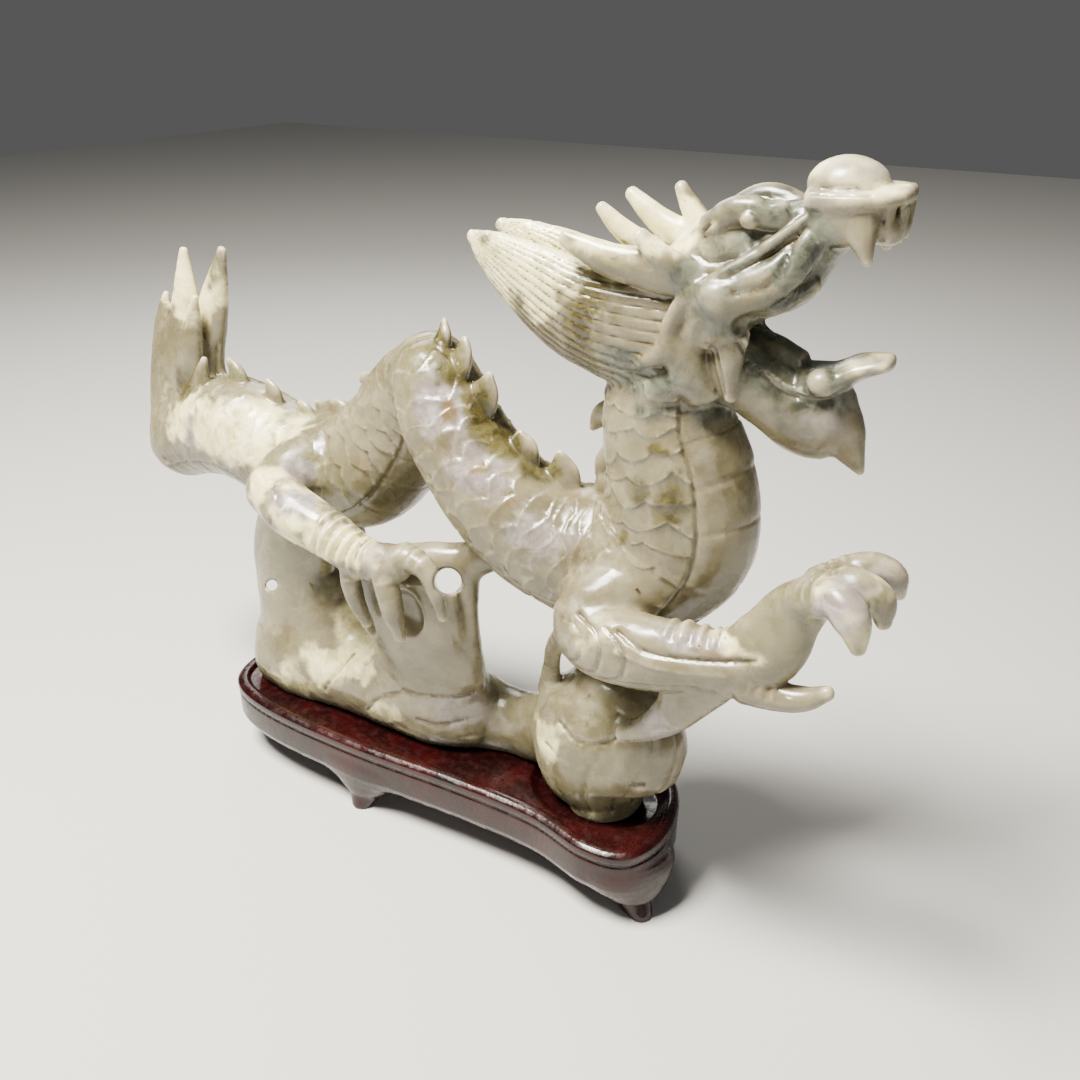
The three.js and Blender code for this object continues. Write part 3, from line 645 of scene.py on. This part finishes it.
def surface_relief(points, normals, bodies):
    height = 0.15 * waves(points, 17, 3) + 0.08 * waves(points, 7, 4)
    for seed, tube in enumerate(bodies):
        height += body_relief(points, tube, 20 + 2 * seed)
    for stations in (MANE, mirrored(MANE)):
        height += tube_lines(points, stations, 32, 1.1, head=True, sharp=5)
    height += tube_lines(points, LEFT_ROCK, 5, 1.2, sharp=3, skew=0.012)
    height += tube_lines(points, PILLAR, 5, 0.9, sharp=3, skew=-0.014)
    height += tube_lines(points, SHELL, 11, 0.9, sharp=5)
    height += tube_lines(points, TAIL_STEM, 7, 1.5, sharp=3)
    height += cross_ribs(points, HINDLEG[1], SHIN_SIDE, 50, 84, 6.5, 1.1, -0.4, 1.3)
    height += cross_ribs(points, FORELEG[1], SHIN_SIDE, 52, 84, 7.0, 0.9, 0.1, 0.8)
    for stations in FORE_CLAWS + HIND_CLAWS:
        height += cross_ribs(points, stations, SHIN_SIDE, 4, 16, 5.0, 0.35, 0.0, 1.6)
    height += engrave(points, normals, INCISIONS)
    return height


def head_line(places):
    return [list(p) for p in head_place(places)]


# Incised lines and raised welts: (places near the skin, width, height).
INCISIONS = [
    # elbow cap and forearm
    ([[118, -54, 186], [128, -57, 182], [134, -58, 174], [132, -58, 164], [124, -57, 156]], 1.2, -1.2),
    ([[110, -52, 180], [118, -57, 180], [124, -58, 173], [122, -57, 165], [115, -54, 160]], 1.1, -1.0),
    ([[133, -58, 186], [142, -60, 180], [147, -61, 172], [144, -61, 162], [136, -60, 154]], 1.2, -1.1),
    ([[140, -56, 184], [156, -60, 180], [174, -59, 181], [190, -55, 183], [204, -51, 186]], 1.8, -1.9),
    ([[142, -60, 176], [158, -61, 174], [176, -59, 174], [192, -55, 176]], 1.3, 0.9),
    ([[136, -58, 156], [152, -60, 158], [170, -58, 162], [188, -54, 165]], 1.4, -0.9),
    # thigh and knee of the hind leg
    ([[-80, -50, 208], [-72, -54, 202], [-70, -55, 194], [-74, -54, 186]], 1.2, -1.0),
    ([[-66, -52, 192], [-58, -56, 186], [-50, -56, 182], [-46, -54, 176]], 1.5, 1.2),
    # base
    ([[-12, -30, 82], [2, -30, 84], [16, -26, 86], [30, -18, 88], [40, -12, 88]], 1.3, -1.4),
    ([[-2, -28, 66], [12, -28, 66], [26, -24, 70], [40, -18, 74]], 1.3, -1.2),
    ([[-40, -28, 60], [-28, -29, 72], [-14, -30, 80]], 1.5, -1.4),
    ([[-74, -28, 62], [-62, -26, 78], [-56, -22, 90]], 1.5, -1.4),
    # shell foot
    ([[84, -30, 82], [98, -40, 78], [114, -44, 74], [130, -38, 72], [144, -26, 74]], 1.3, -1.6),
    ([[92, -26, 98], [104, -32, 94], [118, -34, 96], [130, -28, 104], [140, -18, 108]], 1.6, -1.6),
    # face
    (head_line([[24, -22, 17], [32, -18, 6], [40, -15, -3], [48, -13, -6]]), 1.0, -1.3),
    (head_line([[27, -22, 19], [36, -17, 7], [44, -14, -1], [52, -12, -3]]), 1.1, 1.2),
    (head_line([[12, -23, 16], [16, -24, 6], [18, -22, -6]]), 1.2, -1.6),
    (head_line([[6, -21, 62], [2, -20, 54], [8, -19, 48], [20, -18, 50]]), 1.2, -1.2),
    (head_line([[46, -16, 80], [58, -18, 82], [70, -16, 82]]), 0.9, -0.8),
    (head_line([[44, -12, 60], [41, -17, 50], [34, -20, 42], [22, -24, 38]]), 1.3, -1.6),
]


# ---- Blender meshes ------------------------------------------------------------------------
def normals_of(points, quads):
    a, b, c, d = (points[quads[:, k]] for k in range(4))
    face = np.cross(c - a, d - b)
    total = np.zeros_like(points)
    for axis in range(3):
        for k in range(4):
            total[:, axis] += np.bincount(quads[:, k], face[:, axis], len(points))
    return unit(total)


def new_object(name, points, quads, material):
    mesh = bpy.data.meshes.new(name)
    mesh.from_pydata((points + ORIGIN) * MM, [], quads)
    mesh.update()
    mesh.shade_smooth()
    mesh.materials.append(material)
    obj = bpy.data.objects.new(name, mesh)
    bpy.context.scene.collection.objects.link(obj)
    return obj


def thin_out(obj, triangles):
    """Reduces the mesh to about this many triangles, more where it is detailed."""
    now = sum(len(p.vertices) - 2 for p in obj.data.polygons)
    if now <= triangles:
        return
    modifier = obj.modifiers.new("thin", "DECIMATE")
    modifier.ratio = triangles / now
    modifier.use_collapse_triangulate = True
    graph = bpy.context.evaluated_depsgraph_get()
    mesh = bpy.data.meshes.new_from_object(obj.evaluated_get(graph))
    obj.modifiers.clear()
    old = obj.data
    obj.data = mesh
    bpy.data.meshes.remove(old)


# ---- Colour patches ------------------------------------------------------------------------
# The stone's colours run through it as clouds, and one dark cloud inside the mouth is painted shade: [x, y,
# z, radius x, radius y, radius z, strength].
PATCHES = {
    "dark": [
        [186, -12, 350, 30, 20, 22, 1.0], [197, -14, 355, 8, 14, 20, 1.0], [172, -8, 368, 30, 24, 13, 0.95],
        [168, -18, 336, 26, 18, 22, 0.8], [196, -10, 300, 30, 26, 20, 0.8], [212, 0, 318, 20, 20, 12, 0.7],
        [146, -20, 296, 20, 20, 20, 0.5],
        # painted shade: the second cloud on the next line fills the inside of the open mouth
        [162, -20, 350, 12, 10, 14, 0.7], [184, 0, 322, 22, 24, 14, 1.0], [130, -24, 294, 20, 16, 11, 1.0],
        [150, -12, 281, 22, 24, 8, 0.9], [168, -27, 322, 12, 10, 6, 0.8], [118, -20, 299, 14, 14, 8, 0.8],
    ],
    "olive": [
        [106, -25, 324, 8, 14, 12, 1.0], [99, -25, 308, 9, 14, 14, 1.0], [103, -18, 294, 8, 14, 8, 1.0],
        [10, -14, 290, 12, 12, 12, 1.0], [22, -14, 278, 13, 13, 15, 1.0], [38, -14, 260, 12, 14, 15, 1.0],
        [54, -14, 246, 12, 14, 13, 0.9], [70, -12, 234, 11, 14, 12, 0.8], [40, -24, 246, 12, 8, 10, 0.8],
        [58, -26, 226, 10, 8, 8, 0.7], [148, -26, 236, 9, 8, 12, 0.8], [134, -28, 240, 7, 6, 9, 0.8],
        [-203, 10, 226, 12, 14, 15, 0.8], [-214, 10, 246, 12, 10, 18, 0.4], [127, -27, 217, 4, 5, 7, 0.9],
        [124, -26, 206, 4, 5, 4, 1.0], [141, -27, 263, 6, 6, 4, 0.9], [151, -25, 250, 5, 5, 5, 0.7],
        [152, -24, 212, 6, 5, 3, 0.7], [-87, -12, 122, 8, 10, 13, 0.7], [4, -34, 140, 12, 12, 16, 0.35],
        [-112, -20, 150, 8, 10, 12, 0.5], [62, -20, 206, 8, 12, 6, 0.5], [104, -36, 60, 4, 8, 12, 0.7],
        [118, -38, 62, 3, 8, 14, 0.8], [180, -50, 184, 14, 4, 2.5, 0.9], [74, -14, 226, 8, 10, 8, 0.5],
    ],
    "lavender": [
        [27, -30, 262, 16, 16, 16, 0.9], [48, -35, 236, 16, 16, 16, 1.0], [84, -33, 208, 20, 16, 14, 0.7],
        [-60, -48, 197, 18, 10, 8, 1.0], [-79, -26, 205, 10, 10, 8, 0.9], [239, -51, 224, 12, 12, 12, 1.0],
        [246, -28, 224, 12, 16, 12, 0.8], [208, 0, 384, 20, 18, 10, 0.7], [204, -15, 374, 20, 10, 8, 0.6],
        [212, -9, 286, 16, 18, 16, 0.6], [174, -52, 187, 22, 8, 6, 0.8], [156, -42, 128, 14, 12, 16, 0.8],
        [20, -20, 76, 34, 16, 12, 0.6], [-188, -9, 197, 6, 12, 14, 0.9], [-8, -50, 178, 12, 10, 12, 0.6],
        [4, 0, 268, 12, 20, 10, 0.7], [150, -10, 224, 14, 20, 24, 0.3], [226, 0, 308, 14, 12, 6, 0.8],
    ],
    "rust": [
        [30, -31, 262, 5, 8, 6, 0.9], [24, -28, 248, 4, 8, 4, 0.8], [50, -36, 237, 6, 8, 3, 0.9],
        [68, -34, 222, 5, 8, 3, 0.7], [14, -30, 250, 4, 8, 5, 0.7], [-44, -16, 212, 4, 8, 5, 0.6],
        [186, -52, 184, 12, 5, 2.5, 0.7],
    ],
    "cream": [
        [-56, -18, 100, 16, 20, 34, 1.0], [-76, -26, 76, 16, 12, 14, 0.8],
        [-66, -46, 190, 26, 16, 18, 0.9], [-30, -50, 180, 26, 14, 12, 0.9], [118, -20, 372, 40, 30, 20, 1.0],
        [232, 0, 312, 22, 20, 9, 1.0], [206, 0, 388, 20, 20, 10, 0.9], [216, -12, 378, 14, 12, 8, 0.8],
        [240, -50, 218, 16, 14, 16, 0.7], [244, -28, 222, 16, 16, 14, 0.7],
        [66, 0, 336, 60, 40, 28, 0.9], [108, 0, 356, 62, 40, 14, 1.0], [-150, 0, 206, 66, 40, 20, 0.9],
        [-88, -46, 200, 14, 14, 12, 0.9], [-208, 22, 288, 34, 30, 26, 0.9], [-62, -13, 94, 13, 16, 28, 1.0],
        [192, -44, 188, 18, 10, 5, 0.9], [128, -54, 176, 14, 8, 14, 0.4], [-100, -30, 60, 20, 16, 14, 0.5],
        [84, -26, 84, 16, 12, 14, 0.6], [206, 0, 384, 18, 20, 10, 0.5], [-28, -28, 62, 14, 14, 12, 0.5],
    ],
}


def patch_mask(points, patches, seed):
    edge = 0.24 * waves(points, 22, seed) + 0.14 * waves(points, 8, seed + 1)
    mask = np.zeros(len(points))
    for x, y, z, rx, ry, rz, strength in patches:
        away = np.linalg.norm((points - (x, y, z)) / (rx, ry, rz), axis=1)
        mask = np.maximum(mask, strength * (1 - ease(away + edge, 0.5, 1.35)))
    return mask


def cavity(mesh):
    """How hollow the skin is at each vertex: above 0 in grooves, below 0 on edges."""
    count = len(mesh.vertices)
    points, normals = np.empty(count * 3), np.empty(count * 3)
    mesh.vertices.foreach_get("co", points)
    mesh.vertices.foreach_get("normal", normals)
    points, normals = points.reshape(-1, 3), normals.reshape(-1, 3)
    edges = np.empty(len(mesh.edges) * 2, int)
    mesh.edges.foreach_get("vertices", edges)
    a, b = edges.reshape(-1, 2).T
    span = points[b] - points[a]
    length = np.linalg.norm(span, axis=1)
    total = np.bincount(a, length, count) + np.bincount(b, length, count)
    rise = np.bincount(a, (span * normals[a]).sum(1), count)
    rise -= np.bincount(b, (span * normals[b]).sum(1), count)
    hollow = rise / np.maximum(total, 1e-9)
    degree = np.bincount(a, minlength=count) + np.bincount(b, minlength=count)
    for _ in range(2):
        near = np.bincount(a, hollow[b], count) + np.bincount(b, hollow[a], count)
        hollow = 0.4 * hollow + 0.6 * near / np.maximum(degree, 1)
    return hollow


def store(mesh, name, values):
    attribute = mesh.attributes.new(name, "FLOAT", "POINT")
    attribute.data.foreach_set("value", np.asarray(values, np.float32))


def paint_stone(mesh):
    points = np.empty(len(mesh.vertices) * 3)
    mesh.vertices.foreach_get("co", points)
    points = points.reshape(-1, 3) / MM - ORIGIN
    for seed, (name, patches) in enumerate(PATCHES.items()):
        store(mesh, name, patch_mask(points, patches, 40 + 2 * seed))
    store(mesh, "hollow", cavity(mesh))


# ---- Materials -----------------------------------------------------------------------------
class Tree:
    """Short names for building a material's nodes."""

    def __init__(self, name):
        self.material = bpy.data.materials.new(name)
        self.material.use_nodes = True
        self.nodes, self.links = self.material.node_tree.nodes, self.material.node_tree.links
        self.shader = self.nodes["Principled BSDF"]
        self.place = self.nodes.new("ShaderNodeTexCoord").outputs["Object"]

    def set(self, node, inputs):
        for name, value in inputs.items():
            socket = node.inputs[name]
            if isinstance(value, bpy.types.NodeSocket):
                self.links.new(value, socket)
            else:
                socket.default_value = value
        return node

    def noise(self, size_mm, detail=3.0, roughness=0.55, distortion=0.0):
        node = self.set(self.nodes.new("ShaderNodeTexNoise"), {
            "Vector": self.place, "Scale": 1 / (size_mm * MM), "Detail": detail,
            "Roughness": roughness, "Distortion": distortion,
        })
        return node.outputs["Fac"]

    def math(self, operation, a, b=0.0, c=0.0):
        node = self.nodes.new("ShaderNodeMath")
        node.operation = operation
        return self.set(node, {0: a, 1: b, 2: c}).outputs[0]

    def remap(self, value, low, high, out_low=0.0, out_high=1.0):
        node = self.nodes.new("ShaderNodeMapRange")
        node.interpolation_type = "SMOOTHSTEP"
        return self.set(node, {
            "Value": value, "From Min": low, "From Max": high, "To Min": out_low, "To Max": out_high,
        }).outputs["Result"]

    def mix(self, fac, a, b):
        node = self.nodes.new("ShaderNodeMix")
        node.data_type = "RGBA"
        self.set(node, {0: fac})
        for socket, value in ((node.inputs[6], a), (node.inputs[7], b)):
            if isinstance(value, bpy.types.NodeSocket):
                self.links.new(value, socket)
            else:
                socket.default_value = (*value, 1)
        return node.outputs[2]

    def attribute(self, name):
        node = self.nodes.new("ShaderNodeAttribute")
        node.attribute_name = name
        return node.outputs["Fac"]

    def bump(self, height, strength, distance_mm, normal=None):
        inputs = {"Height": height, "Strength": strength, "Distance": distance_mm * MM}
        node = self.set(self.nodes.new("ShaderNodeBump"), inputs)
        if normal is not None:
            self.links.new(normal, node.inputs["Normal"])
        return node.outputs["Normal"]


def jade_material():
    t = Tree("jade_stone")
    cloud, fine, grain = t.noise(38, 4, 0.6, 0.6), t.noise(9, 4, 0.6, 0.4), t.noise(2.2, 3)
    colour = t.mix(t.remap(cloud, 0.35, 0.65), (0.115, 0.098, 0.050), (0.215, 0.188, 0.112))
    colour = t.mix(t.remap(fine, 0.45, 0.75, 0, 0.5), colour, (0.31, 0.28, 0.18))
    green = t.noise(60, 3, 0.5, 0.3)
    colour = t.mix(t.remap(green, 0.5, 0.7, 0, 0.45), colour, (0.105, 0.108, 0.040))
    tints = {
        "cream": ((0.88, 0.81, 0.47), (0.66, 0.60, 0.28)),
        "lavender": ((0.18, 0.150, 0.135), (0.36, 0.325, 0.305)),
        "rust": ((0.150, 0.095, 0.038), (0.25, 0.18, 0.09)),
        "olive": ((0.034, 0.028, 0.006), (0.110, 0.094, 0.028)),
        "dark": ((0.028, 0.035, 0.022), (0.145, 0.155, 0.110)),
    }
    for name, (deep, pale) in tints.items():
        ragged = t.math("MULTIPLY_ADD", t.math("SUBTRACT", fine, 0.5), 0.9, t.attribute(name))
        tint = t.mix(t.remap(t.noise(13, 4, 0.65, 0.8), 0.38, 0.66), deep, pale)
        colour = t.mix(t.remap(ragged, 0.12, 0.95), colour, tint)
    vein = t.math("ABSOLUTE", t.math("SUBTRACT", t.noise(24, 4, 0.6, 1.2), 0.5))
    colour = t.mix(t.remap(vein, 0.0, 0.012, 0.35, 0.0), colour, (0.20, 0.17, 0.11))
    speck = t.noise(3.4, 2, 0.5)
    colour = t.mix(t.remap(speck, 0.76, 0.80, 0, 0.75), colour, (0.07, 0.06, 0.06))
    hollow = t.attribute("hollow")
    # painted shade: grooves and hollows in the stone are darkened
    colour = t.mix(t.remap(hollow, 0.015, 0.13, 0, 0.75), colour, (0.075, 0.05, 0.018))
    # painted highlight: ridges and edges of the stone are lightened
    colour = t.mix(t.remap(hollow, -0.04, -0.18, 0, 0.6), colour, (0.60, 0.52, 0.36))
    rough = t.remap(fine, 0.3, 0.7, 0.2, 0.36)
    t.set(t.shader, {
        "Base Color": colour, "Roughness": rough, "IOR": 1.6, "Subsurface Weight": 0.22,
        "Subsurface Radius": (1.0, 0.95, 0.7), "Subsurface Scale": 0.005,
    })
    skin = t.bump(t.noise(6, 3), 0.2, 0.5)
    t.set(t.shader, {"Normal": t.bump(grain, 0.25, 0.12, skin)})
    return t.material


def lacquer_material():
    t = Tree("red_lacquer")
    patchy, brushed = t.noise(30, 4, 0.6, 0.4), t.noise(5, 4, 0.6)
    colour = t.mix(t.remap(patchy, 0.35, 0.7), (0.006, 0.0005, 0.0006), (0.020, 0.0010, 0.0012))
    colour = t.mix(t.remap(brushed, 0.5, 0.8, 0, 0.5), colour, (0.036, 0.002, 0.002))
    hollow = t.attribute("hollow")
    # painted shade: grooves and recesses in the lacquer are darkened
    colour = t.mix(t.remap(hollow, 0.02, 0.2, 0, 0.9), colour, (0.008, 0.001, 0.001))
    rough = t.remap(brushed, 0.3, 0.75, 0.2, 0.42)
    t.set(t.shader, {
        "Base Color": colour, "Roughness": rough, "Specular IOR Level": 0.4,
        "Coat Weight": 0.12, "Coat Roughness": 0.1,
    })
    t.set(t.shader, {"Normal": t.bump(t.noise(3.5, 4), 0.4, 0.35)})
    return t.material


# ---- Stand ---------------------------------------------------------------------------------
STAND_OUTLINE = [
    [-157, -6], [-146, -34], [-110, -47], [-40, -50], [34, -46], [85, -46], [122, -54], [146, -48],
    [155, -22], [148, 10], [126, 34], [80, 42], [20, 40], [-50, 46], [-110, 44], [-148, 24],
]
# Feet: [x, y] on the wall, the wall's heading in degrees, half length, half thickness.
STAND_FEET = [[-37, -50, 1, 27, 9], [155, -39, 58, 24, 15], [127, 34, 148, 20, 12], [-126, 38, 202, 24, 9]]
OUTLINE_COUNT = 240


def outline(inset):
    p = np.array(STAND_OUTLINE, float)
    t = np.linspace(0, 1, OUTLINE_COUNT, endpoint=False)
    u = t * len(p)
    i = u.astype(int)
    w = (u - i)[:, None]
    a, b, c, d = (p[(i + k) % len(p)] for k in (-1, 0, 1, 2))
    m0, m1 = 0.5 * (c - a), 0.5 * (d - b)
    quad, cube = -3 * b + 3 * c - 2 * m0 - m1, 2 * b - 2 * c + m0 + m1
    along = unit(m0 + 2 * w * quad + 3 * w * w * cube)
    at = b + w * m0 + w * w * quad + w ** 3 * cube
    return at + np.stack([-along[:, 1], along[:, 0]], -1) * inset


def stack(levels):
    """Outlines one above another, each [height, inset], closed across the middle at both ends."""
    rings = [np.c_[outline(inset), np.full(OUTLINE_COUNT, z)] for z, inset in levels]
    closing = [
        np.c_[ring[:, 0] * 0.9, np.full(OUTLINE_COUNT, -3.0), ring[:, 2]] for ring in (rings[0], rings[-1])
    ]
    points, _, quads = ring_mesh(np.stack([closing[0], *rings, closing[1]]))
    return points, np.zeros((0, 3), int), quads


def carve_stand():
    wood = Stone(*STAND_BOUNDS, STAND_CELL)
    wood.join(stack([
        [APRON_BOTTOM, 3], [APRON_BOTTOM + 5, 0.5], [STAND_TOP - 9, 0.5], [STAND_TOP - 7.5, 2],
        [STAND_TOP - 6, 0], [STAND_TOP - 2, 0], [STAND_TOP, 2.5],
    ]), 0.5)
    wood.cut(stack([[STAND_FLOOR, 8], [STAND_TOP + 8, 3]]), 0.8)
    pocket = Stone(*STAND_BOUNDS, STAND_CELL)
    pocket.join(ball([104, -4, POCKET_FLOOR + 18], [44, 35, 30]), 1)
    pocket.cut_below(POCKET_FLOOR)
    wood.values = -wood.soft_least(-wood.values, pocket.values, 0.8)
    for x, y, heading, length, thickness in STAND_FEET:
        turn = math.radians(heading)

        def station(inward, z, *size):
            return [x - math.sin(turn) * inward, y + math.cos(turn) * inward, z, *size]

        wood.join(Tube([
            station(thickness + 0.5, APRON_BOTTOM + 8, length, thickness),
            station(thickness + 0.5, APRON_BOTTOM - 2, length * 0.85, thickness),
            station(thickness, 8, length * 0.45, thickness * 0.85),
            station(5, 0, 6, 5), station(5, -6, 5, 4),
        ], side=(math.cos(turn), math.sin(turn), 0)).mesh(), 5)
    wood.cut_below(0)
    return wood


# ---- Camera, lights and floor --------------------------------------------------------------
def to_row(point):
    return (np.asarray(point, float) + ORIGIN) * MM


def add_camera():
    level = math.cos(CAMERA_ELEVATION)
    back = np.array([
        math.sin(CAMERA_AZIMUTH) * level, -math.cos(CAMERA_AZIMUTH) * level, math.sin(CAMERA_ELEVATION),
    ])
    data = bpy.data.cameras.new("camera")
    data.lens = CAMERA_LENS
    data.sensor_width = 36
    data.clip_start = 0.02
    camera = bpy.data.objects.new("camera", data)
    camera.location = to_row(CAMERA_TARGET + back * CAMERA_DISTANCE)
    camera.rotation_euler = (math.pi / 2 - CAMERA_ELEVATION, 0, CAMERA_AZIMUTH)
    bpy.context.scene.collection.objects.link(camera)
    bpy.context.scene.camera = camera


def add_light(name, at, size, power, colour):
    data = bpy.data.lights.new(name, "AREA")
    data.size = size
    data.energy = power
    data.color = colour
    light = bpy.data.objects.new(name, data)
    light.location = at
    aim = Vector(to_row(LIGHT_TARGET)) - light.location
    light.rotation_euler = aim.to_track_quat("-Z", "Y").to_euler()
    bpy.context.scene.collection.objects.link(light)


def add_floor():
    r = FLOOR_REACH
    mesh = bpy.data.meshes.new("floor")
    mesh.from_pydata([(-r, -r, 0), (r, -r, 0), (r, r, 0), (-r, r, 0)], [], [(0, 1, 2, 3)])
    material = bpy.data.materials.new("floor_paper")
    material.use_nodes = True
    shader = material.node_tree.nodes["Principled BSDF"]
    shader.inputs["Base Color"].default_value = (0.52, 0.515, 0.50, 1)
    shader.inputs["Roughness"].default_value = 0.7
    mesh.materials.append(material)
    floor = bpy.data.objects.new("floor", mesh)
    bpy.context.scene.collection.objects.link(floor)


def add_world():
    world = bpy.data.worlds.new("studio")
    world.use_nodes = True
    background = world.node_tree.nodes["Background"]
    background.inputs["Color"].default_value = (1, 1, 1, 1)
    background.inputs["Strength"].default_value = 0.10
    bpy.context.scene.world = world


# ---- The pieces ----------------------------------------------------------------------------
def skin_of(solid):
    """The field's surface as points, quads and normals, facing outward."""
    points, _, quads = solid.polygons()
    points, quads = points.astype(float), quads.astype(int)
    normals = normals_of(points, quads)
    if (normals * (points - points.mean(0))).sum() < 0:
        quads, normals = quads[:, ::-1], -normals
    return points, quads, normals


stone, bodies = carve_dragon()
points, quads, normals = skin_of(stone)
points = points + normals * surface_relief(points, normals, bodies)[:, None]
jade = new_object("jade_dragon", points, quads, jade_material())
thin_out(jade, STONE_TRIANGLES)
paint_stone(jade.data)

points, quads, _ = skin_of(carve_stand())
stand = new_object("lacquer_stand", points, quads, lacquer_material())
thin_out(stand, STAND_TRIANGLES)
store(stand.data, "hollow", cavity(stand.data))

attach(jade, "root")
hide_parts("dragon_carving")
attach(stand, "root")
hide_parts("stand")

add_floor()
add_camera()
add_light("key", (-0.25, -0.45, 1.35), 0.45, 110, (1.0, 0.95, 0.85))
add_light("fill", (1.2, -0.9, 0.6), 0.7, 2.5, (1.0, 0.97, 0.95))
add_light("rim", (-0.7, 0.8, 0.9), 0.6, 8, (1.0, 0.97, 0.92))
add_world()
